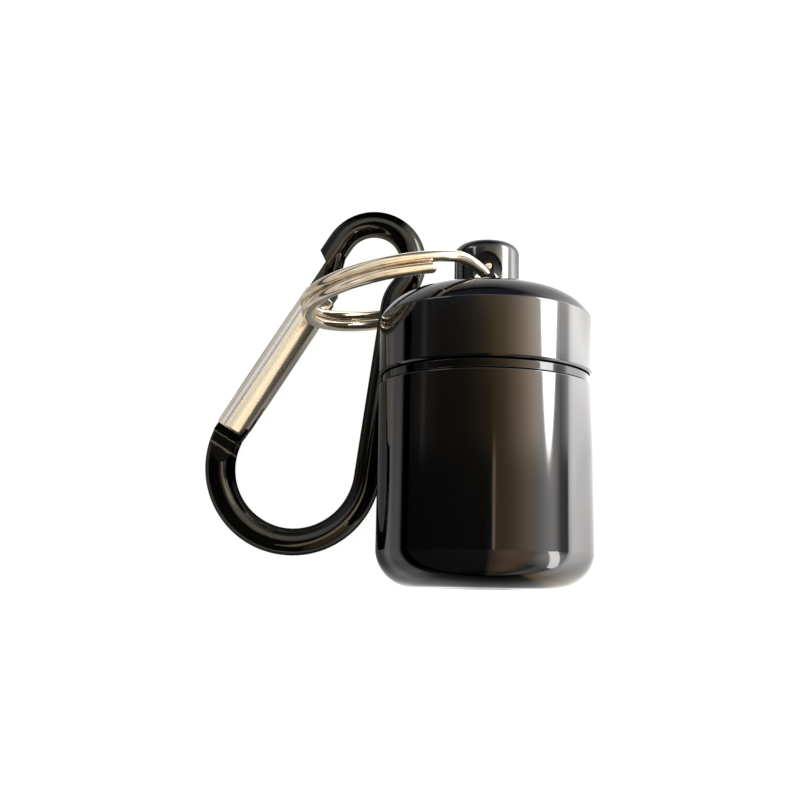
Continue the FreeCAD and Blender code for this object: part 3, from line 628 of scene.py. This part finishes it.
GATE_LEAN = math.radians(31.75)
along_gate = (0.0, 0.0, -GATE_LEAN)
brushed, tree, shader = finish(
    "brushed_aluminium", colour=(0.82, 0.76, 0.64), metallic=0.9, roughness=0.22)
brush_lines = placed_noise(
    tree, cells=(5000.0, 60.0, 5000.0), detail=4.0, turn=along_gate, roughness=0.7)
grain = placed_noise(tree, cells=(6000.0, 2500.0, 6000.0), turn=along_gate)
tree.links.new(blended(tree, two_tones(tree, brush_lines, (0.78, 0.71, 0.58), (0.92, 0.87, 0.77)),
                       two_tones(tree, grain, (0.88, 0.86, 0.82), (1.0, 1.0, 1.0)), "MULTIPLY"),
               shader.inputs["Base Color"])
tree.links.new(between(tree, brush_lines, 0.16, 0.26), shader.inputs["Roughness"])
relief(tree, shader, brush_lines, depth=0.004 * MM)
dress(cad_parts["gate_sleeve"], brushed)


# Gate pins and plunger: steel pins pressed into the gate, ground flush and brushed over with it,
# and a turned plunger in the gate's bore.

steel, tree, shader = finish("ground_steel", colour=(0.6, 0.6, 0.6), metallic=1.0, roughness=0.3)
grinding = placed_noise(tree, cells=(2500.0, 2500.0, 2500.0), detail=4.0)
tree.links.new(two_tones(tree, grinding, (0.52, 0.52, 0.52), (0.66, 0.655, 0.65)),
               shader.inputs["Base Color"])
tree.links.new(between(tree, grinding, 0.24, 0.38), shader.inputs["Roughness"])
dress(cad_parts["spring_plunger"], steel)
for name in ("hinge_rivet", "catch_pin"):
    dress(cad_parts[name], brushed)


# Gate spring: a coil of drawn wire between the plunger's head and the end of the gate's bore,
# which pushes the gate shut from inside. The real one shortens as the opening gate lifts the
# plunger; this coil is drawn at rest and rides with the gate.

COIL_RADIUS = 0.8
COIL_WIRE = 0.28
COIL_FOOT, COIL_TOP, COIL_TURNS = 4.062, 11.21, 6
COIL_STEPS = 36


def coil_station(turns):
    """Where the spring's wire is after some turns of its coil."""
    turn = 2 * math.pi * turns
    outward = GATE_IN * math.cos(turn) - HOOK_NORMAL * math.sin(turn)
    height = COIL_FOOT + (COIL_TOP - COIL_FOOT) * turns / COIL_TURNS
    return GATE_PIVOT + GATE_UP * height + outward * COIL_RADIUS, outward, GATE_UP, 1.0


coil = wound(
    "gate_spring_coil",
    [coil_station(step / COIL_STEPS) for step in range(COIL_STEPS * COIL_TURNS + 1)],
    [(COIL_WIRE / 2 * math.cos(math.radians(turn)), COIL_WIRE / 2 * math.sin(math.radians(turn)))
     for turn in range(0, 360, 30)],
)
wire, tree, shader = finish("drawn_spring_wire", colour=(0.5, 0.5, 0.5), metallic=1.0, roughness=0.25)
drawing = placed_noise(tree, cells=(4000.0, 4000.0, 4000.0))
tree.links.new(two_tones(tree, drawing, (0.44, 0.44, 0.44), (0.56, 0.555, 0.55)),
               shader.inputs["Base Color"])
tree.links.new(between(tree, drawing, 0.2, 0.32), shader.inputs["Roughness"])
coil.data.materials.append(wire)
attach(coil, "gate")
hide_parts("gate_spring")
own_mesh(coil)


# Table: a plain white sheet under the keychain. The metal mirrors a glow with painted light on the
# window's side and painted shade on the other sides, where the room and the keychain shade it.

TABLE_SIZE = 6.0
TABLE_LEVEL = cad_box[0][2]
CAPSULE_MIDDLE = (0.0, 0.02, 0.0)
SHEET_WHITE = (0.93, 0.93, 0.93, 1.0)
SHADOW_GREY = (0.2, 0.2, 0.2, 1.0)
MIRROR_STRENGTH = 7.0
bpy.ops.mesh.primitive_plane_add(size=TABLE_SIZE, location=(0.0, 0.0, TABLE_LEVEL))
table = bpy.context.object
table.name = "table"

sheet = bpy.data.materials.new("white_sheet")
sheet.use_nodes = True
tree = sheet.node_tree
tree.nodes.clear()
place = add_node(tree, "ShaderNodeTexCoord")
from_capsule = add_node(tree, "ShaderNodeVectorMath", operation="SUBTRACT")
from_capsule.inputs[1].default_value = CAPSULE_MIDDLE
tree.links.new(place.outputs["Object"], from_capsule.inputs[0])
apart = add_node(tree, "ShaderNodeSeparateXYZ")
tree.links.new(from_capsule.outputs["Vector"], apart.inputs["Vector"])
reach = add_node(tree, "ShaderNodeVectorMath", operation="LENGTH")
tree.links.new(from_capsule.outputs["Vector"], reach.inputs[0])
far = reach.outputs["Value"]
way = reckon(tree, "DEGREES", reckon(tree, "ARCTAN2", apart.outputs["Y"], apart.outputs["X"]))


def table_tone(ways, distances):
    """A painted light or shade of the table's mirrored glow, from stops round the capsule in degrees
    and away from it in metres.
    """
    return blended(tree, tone_ramp(tree, way, ways), tone_ramp(tree, far, distances), "MULTIPLY")


# Painted light and shade: the table's glow seen in the metal is bright on the window's side and near
# the capsule's base, and dark in the crevice by the hook.
window_side = table_tone(
    [(-180, 0.0), (-70, 0.0), (-66, (0.08, 0.065, 0.02)), (-60, (0.12, 0.105, 0.075)),
     (-55, (0.19, 0.175, 0.15)), (-40, 0.32), (-28, 0.44), (-18, 0.49), (-10, 0.55), (0, 0.58),
     (10, 0.75), (20, 0.95), (30, 0.76), (45, 0.42), (55, 0.19), (65, 0.08), (75, 0.03), (85, 0.0),
     (180, 0.0)],
    [(0.0, 1.0), (0.15, 1.0), (0.3, 0.8), (0.6, 0.6), (1.5, 0.35)])
beyond_cap = table_tone(
    [(-180, 0.0), (45, 0.0), (60, 0.6), (75, 1.0), (105, 1.0), (120, 0.7), (140, 0.15), (160, 0.0),
     (180, 0.0)],
    [(0.0, 0.3), (0.04, 0.3), (0.055, 0.19), (0.07, 0.14), (0.1, 0.065), (0.14, 0.05), (0.2, 0.025),
     (0.35, 0.0)])
hook_side = table_tone(
    [(-180, 0.7), (-150, 0.85), (-140, 0.65), (-134, 0.75), (-125, 0.8), (-120, 0.5), (-115, 0.25),
     (-110, 0.06), (-106, 0.06), (-90, 0.09), (-75, 0.09), (-62, 0.1), (-50, 0.0), (120, 0.0),
     (150, 0.5), (180, 0.7)],
    [(0.0, 0.045), (0.03, 0.045), (0.036, 0.08), (0.04, 0.15), (0.046, 0.15), (0.052, 0.1), (0.09, 0.1),
     (0.117, 0.035), (0.13, 0.0)])
by_base = table_tone(
    [(-180, 0.0), (-135, 0.0), (-122, 0.4), (-114, 0.75), (-104, 0.75), (-90, 0.4), (-80, 0.45),
     (-73, 0.75), (-63, 1.6), (-53, 1.4), (-45, 0.6), (-35, 0.0), (180, 0.0)],
    [(0.0, 0.22), (0.03, 0.22), (0.036, 0.18), (0.042, 0.145), (0.053, 0.08), (0.07, 0.03),
     (0.082, 0.012), (0.2, 0.012), (0.3, 0.0)])
painted_light_and_shade = blended(tree, blended(tree, window_side, beyond_cap, "ADD"),
                    blended(tree, hook_side, by_base, "ADD"), "ADD")
ray = add_node(tree, "ShaderNodeLightPath")
mirror_rays = reckon(tree, "MAXIMUM", ray.outputs["Is Glossy Ray"], ray.outputs["Is Transmission Ray"])
mirrored = add_node(tree, "ShaderNodeEmission")
mirrored.inputs["Strength"].default_value = MIRROR_STRENGTH
tree.links.new(painted_light_and_shade, mirrored.inputs["Color"])
direct = add_node(tree, "ShaderNodeEmission")
direct.inputs["Color"].default_value = SHEET_WHITE
tree.links.new(ray.outputs["Is Camera Ray"], direct.inputs["Strength"])
matt = add_node(tree, "ShaderNodeBsdfDiffuse")
matt.inputs["Color"].default_value = SHADOW_GREY
lit_sheet = add_node(tree, "ShaderNodeAddShader")
tree.links.new(direct.outputs["Emission"], lit_sheet.inputs[0])
tree.links.new(matt.outputs["BSDF"], lit_sheet.inputs[1])


def chosen(tree, share, first, second):
    """The first shader, and by a share the second instead."""
    mixed = add_node(tree, "ShaderNodeMixShader")
    tree.links.new(share, mixed.inputs["Fac"])
    tree.links.new(first, mixed.inputs[1])
    tree.links.new(second, mixed.inputs[2])
    return mixed.outputs["Shader"]


seen_sheet = chosen(tree, mirror_rays, lit_sheet.outputs["Shader"], mirrored.outputs["Emission"])
output = add_node(tree, "ShaderNodeOutputMaterial")
tree.links.new(seen_sheet, output.inputs["Surface"])
table.data.materials.append(sheet)


# Room and light: a dim room that warms towards the window on the right, soft daylight from above,
# and the window's two panes as soft panels. Each further panel is linked to the capsule, to the
# hook, to the ring, or to the ring and the gate, and lights nothing else.

ROOM_STRENGTH = 3.5
SKY_UP = Vector((-0.05, 0.15, 0.98))
SKY_LOW, SKY_HIGH = 0.25, 1.25
FAR_CORNER = (0.022, 0.024, 0.036)

world = bpy.data.worlds.new("room")
bpy.context.scene.world = world
world.use_nodes = True
tree = world.node_tree
tree.nodes.clear()
place = add_node(tree, "ShaderNodeTexCoord")
apart = add_node(tree, "ShaderNodeSeparateXYZ")
tree.links.new(place.outputs["Generated"], apart.inputs["Vector"])
height = apart.outputs["Y"]
angle = reckon(tree, "DEGREES", reckon(tree, "ARCTAN2", apart.outputs["X"], apart.outputs["Z"]))

# Tones round the room, in degrees from overhead towards the window, from its foot to its far corner
by_floor = tone_ramp(tree, angle, [
    (-90, 0.009), (-2, 0.012), (3, (0.06, 0.041, 0.032)), (6, (0.087, 0.058, 0.04)),
    (9, (0.078, 0.051, 0.033)), (20, (0.125, 0.084, 0.055)), (34, (0.135, 0.091, 0.06)),
    (47, (0.1, 0.072, 0.052)), (57, 0.045), (62, 0.04), (75, 0.15), (90, 0.1)])
floor_shade = blended(tree, by_floor, tone_ramp(tree, height, [(-1.0, 0.35), (-0.92, 1.0), (0.0, 1.0)]),
                      "MULTIPLY")
window_foot = tone_ramp(tree, angle, [
    (-90, 0.009), (-2, 0.012), (3, (0.07, 0.048, 0.038)), (10, (0.115, 0.075, 0.048)),
    (22, (0.16, 0.108, 0.07)), (40, (0.165, 0.112, 0.072)), (50, (0.19, 0.155, 0.115)), (58, 0.3),
    (66, 0.4), (80, 0.4), (90, 0.35)])
low_wall = tone_ramp(tree, angle, [
    (-90, 0.005), (-5, 0.006), (3.2, 0.012), (4.0, (0.32, 0.235, 0.155)), (5.4, (0.32, 0.235, 0.155)),
    (6.4, (0.075, 0.055, 0.031)), (9, (0.078, 0.057, 0.031)), (16, (0.08, 0.059, 0.032)),
    (24, (0.102, 0.077, 0.045)), (32, (0.148, 0.116, 0.074)), (41, (0.2, 0.165, 0.12)),
    (50, (0.22, 0.2, 0.165)), (59, 0.3), (69, 0.4), (74, 0.3), (79, 0.1), (90, 0.06)])
high_wall = tone_ramp(tree, angle, [
    (-90, (0.012, 0.012, 0.013)), (-78, 0.016), (-73, (0.05, 0.045, 0.04)), (-68, (0.02, 0.018, 0.017)),
    (-50, (0.012, 0.010, 0.008)), (-25, (0.014, 0.012, 0.008)), (-10, (0.026, 0.021, 0.013)),
    (0, (0.042, 0.032, 0.017)), (7, (0.066, 0.050, 0.027)), (15, (0.095, 0.071, 0.041)),
    (23, (0.165, 0.127, 0.084)), (32, (0.27, 0.211, 0.15)), (41, (0.42, 0.34, 0.266)),
    (50, (0.57, 0.50, 0.44)), (57, (0.62, 0.58, 0.54)), (76, 0.3), (80, (0.16, 0.17, 0.18)), (86, 0.3),
    (90, (0.5, 0.49, 0.48))])
above_seam = blended(tree, high_wall, tone_ramp(tree, angle, [
    (-90, 1.0), (-50, 1.1), (-38, 1.25), (-21, 1.66), (2, 1.8), (13, 1.7), (26, 1.4), (51, 1.36),
    (70, 1.4), (75, 2.2), (79, 3.45), (84, 2.4), (88, 1.6), (90, 1.5)]), "MULTIPLY")
ceiling = tone_ramp(tree, angle, [
    (-90, (0.05, 0.055, 0.07)), (-65, (0.04, 0.045, 0.06)), (-20, (0.06, 0.062, 0.072)),
    (-5, (0.19, 0.165, 0.13)), (9, (0.2, 0.17, 0.13)), (23, (0.25, 0.22, 0.18)),
    (38, (0.49, 0.46, 0.42)), (53, 0.9), (62, 0.6), (76, 0.6), (87, 1.0)])
far_ceiling = tone_ramp(tree, angle, [
    (-90, (0.07, 0.08, 0.1)), (-78, (0.07, 0.08, 0.1)), (-37, (0.09, 0.1, 0.12)), (-6, 0.14), (8, 0.14),
    (25, 0.2), (44, 0.32), (55, 0.6), (63, 0.8), (90, 0.9)])

# Heights between which one tone gives way to the next, as parts of a sphere round the keychain
whole_room = floor_shade
for low, high, above in (
        (-0.75, -0.45, window_foot), (-0.28, -0.12, low_wall), (0.118, 0.145, high_wall),
        (0.2025, 0.21, above_seam), (0.24, 0.34, ceiling), (0.3, 0.6, far_ceiling)):
    joined = add_node(tree, "ShaderNodeMix", data_type="RGBA")
    tree.links.new(between(tree, height, 0.0, 1.0, low, high), joined.inputs["Factor"])
    tree.links.new(whole_room, joined.inputs["A"])
    tree.links.new(above, joined.inputs["B"])
    whole_room = joined.outputs["Result"]
whole_room = layered(tree, between(tree, height, 0.0, 1.0, 0.65, 0.93), whole_room, FAR_CORNER)

room = add_node(tree, "ShaderNodeBackground")
room.inputs["Strength"].default_value = ROOM_STRENGTH
tree.links.new(whole_room, room.inputs["Color"])
daylight = add_node(tree, "ShaderNodeVectorMath", operation="DOT_PRODUCT")
daylight.inputs[1].default_value = SKY_UP.normalized()
tree.links.new(place.outputs["Generated"], daylight.inputs[0])
soft = add_node(tree, "ShaderNodeBackground")
tree.links.new(between(tree, daylight.outputs["Value"], SKY_LOW, SKY_HIGH, -0.2, 1.0),
               soft.inputs["Strength"])
plain = add_node(tree, "ShaderNodeBackground")
plain.inputs["Color"].default_value = (1.0, 1.0, 1.0, 1.0)
ray = add_node(tree, "ShaderNodeLightPath")
lit_room = chosen(tree, ray.outputs["Is Glossy Ray"], soft.outputs["Background"],
                  room.outputs["Background"])
seen_room = chosen(tree, ray.outputs["Is Camera Ray"], lit_room, plain.outputs["Background"])
output = add_node(tree, "ShaderNodeOutputWorld")
tree.links.new(seen_room, output.inputs["Surface"])


def panel(name, centre, facing, upright, size, radiance, colour=(1.0, 1.0, 1.0), shape="RECTANGLE",
          pieces=()):
    """A soft light panel of an even radiance, which faces a point and stands along upright.

    size is its width and height. With pieces, it lights only those.
    """
    width, height = size
    lamp = bpy.data.lights.new(name, "AREA")
    lamp.shape = shape
    lamp.size = width
    lamp.size_y = height
    fullness = math.pi / 4 if shape == "ELLIPSE" else 1.0
    lamp.energy = radiance * math.pi * width * height * fullness
    lamp.color = colour
    stand = bpy.data.objects.new(name, lamp)
    bpy.context.scene.collection.objects.link(stand)
    back = (Vector(centre) - Vector(facing)).normalized()
    side = Vector(upright).cross(back).normalized()
    aim = Matrix((side, back.cross(side), back)).transposed()
    stand.matrix_world = Matrix.Translation(centre) @ aim.to_4x4()
    if pieces:
        receivers = bpy.data.collections.new(name + "_pieces")
        for piece in pieces:
            receivers.objects.link(piece)
        stand.light_linking.receiver_collection = receivers


GATE_MIDDLE = 10.0
SKYLIGHT_HEIGHT = 0.4
above_gate = (GATE_PIVOT + GATE_UP * GATE_MIDDLE) * MM + HOOK_NORMAL * SKYLIGHT_HEIGHT


def over_gate(aside, lowered=0.0):
    """A point over the gate, so far to the hook's inside and below the skylight, in metres."""
    return above_gate + GATE_IN * aside - HOOK_NORMAL * lowered


gate_pieces = [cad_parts[name] for name in ("gate_sleeve", "hinge_rivet", "catch_pin")]
hook_pieces = [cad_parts[name] for name in ("hook_frame", "spring_plunger")] + [coil]
panel("upper_pane", centre=(0.5, 0.319, 0.245), facing=(0.0, 0.319, 0.245), upright=(0, 0, 1),
      size=(0.47, 0.28), radiance=9.5, shape="ELLIPSE")
panel("lower_pane", centre=(0.5, -0.26, 0.1), facing=(0.0, -0.26, 0.1), upright=(0, 0.89, 0.456),
      size=(0.125, 0.42), radiance=4.2)
panel("cap_card", centre=(-0.46, 0.33, 0.29), facing=(-0.03, 0.03, -0.01), upright=(0.42, -0.30, 0.80),
      size=(0.12, 0.30), radiance=2.2, colour=(1.0, 0.95, 0.86), pieces=[cup, cap])
panel("skylight", centre=over_gate(0.12), facing=over_gate(0.12, 1.0), upright=GATE_UP,
      size=(1.04, 0.7), radiance=0.78, colour=(1.0, 0.94, 0.82), pieces=[ring] + gate_pieces)
panel("bright_pane", centre=over_gate(0.15, 0.01), facing=over_gate(0.15, 1.0), upright=GATE_UP,
      size=(0.1, 0.7), radiance=0.3, colour=(1.0, 0.95, 0.85), pieces=[ring] + gate_pieces)
panel("hook_pane", centre=over_gate(0.12, 0.01), facing=over_gate(0.12, 1.0), upright=GATE_UP,
      size=(0.1, 0.7), radiance=1.5, colour=(1.0, 0.90, 0.76), pieces=hook_pieces)
panel("far_sky", centre=(-0.03, 0.24, 0.39), facing=(-0.03, 0.24, 0.0), upright=(0, 1, 0),
      size=(0.5, 0.32), radiance=0.6, pieces=hook_pieces)
panel("glint", centre=(0.125, -0.136, 0.317), facing=(-0.015, 0.044, -0.011), upright=(0, 0, 1),
      size=(0.045, 0.045), radiance=30.0, shape="ELLIPSE", pieces=hook_pieces)
panel("side_card", centre=over_gate(-0.4, 0.285), facing=over_gate(0.0, SKYLIGHT_HEIGHT),
      upright=HOOK_NORMAL, size=(0.7, 0.23), radiance=0.6, pieces=[ring] + gate_pieces)
panel("ring_card", centre=(-0.31, -0.25, 0.16), facing=(-0.011, 0.038, 0.0), upright=(0, 0, 1),
      size=(0.6, 0.42), radiance=0.6, colour=(1.0, 0.92, 0.84), pieces=[ring])


# Camera: at the photograph's place, close above the keychain and a little below its middle. It
# looks down and slightly up the capsule, with no shift and no blur.

FRAME_PIXELS = 800.0
FOCAL_PIXELS = 1163.1
SENSOR_WIDTH = 36.0
CAMERA_PLACE = Vector((-10.82, -2.05, 144.64))
CAMERA_ROLL = math.radians(-1.18)
CAMERA_TILT = math.radians(-9.95)
camera = bpy.data.cameras.new("camera")
camera.sensor_fit = "HORIZONTAL"
camera.sensor_width = SENSOR_WIDTH
camera.lens = FOCAL_PIXELS * SENSOR_WIDTH / FRAME_PIXELS
camera.clip_start = 0.005
holder = bpy.data.objects.new("camera", camera)
bpy.context.scene.collection.objects.link(holder)
turn = Matrix.Rotation(CAMERA_ROLL, 3, "Z") @ Matrix.Rotation(CAMERA_TILT, 3, "X")
holder.matrix_world = Matrix.Translation(CAMERA_PLACE * MM) @ turn.transposed().to_4x4()
bpy.context.scene.camera = holder
bpy.context.scene.view_settings.view_transform = "Standard"
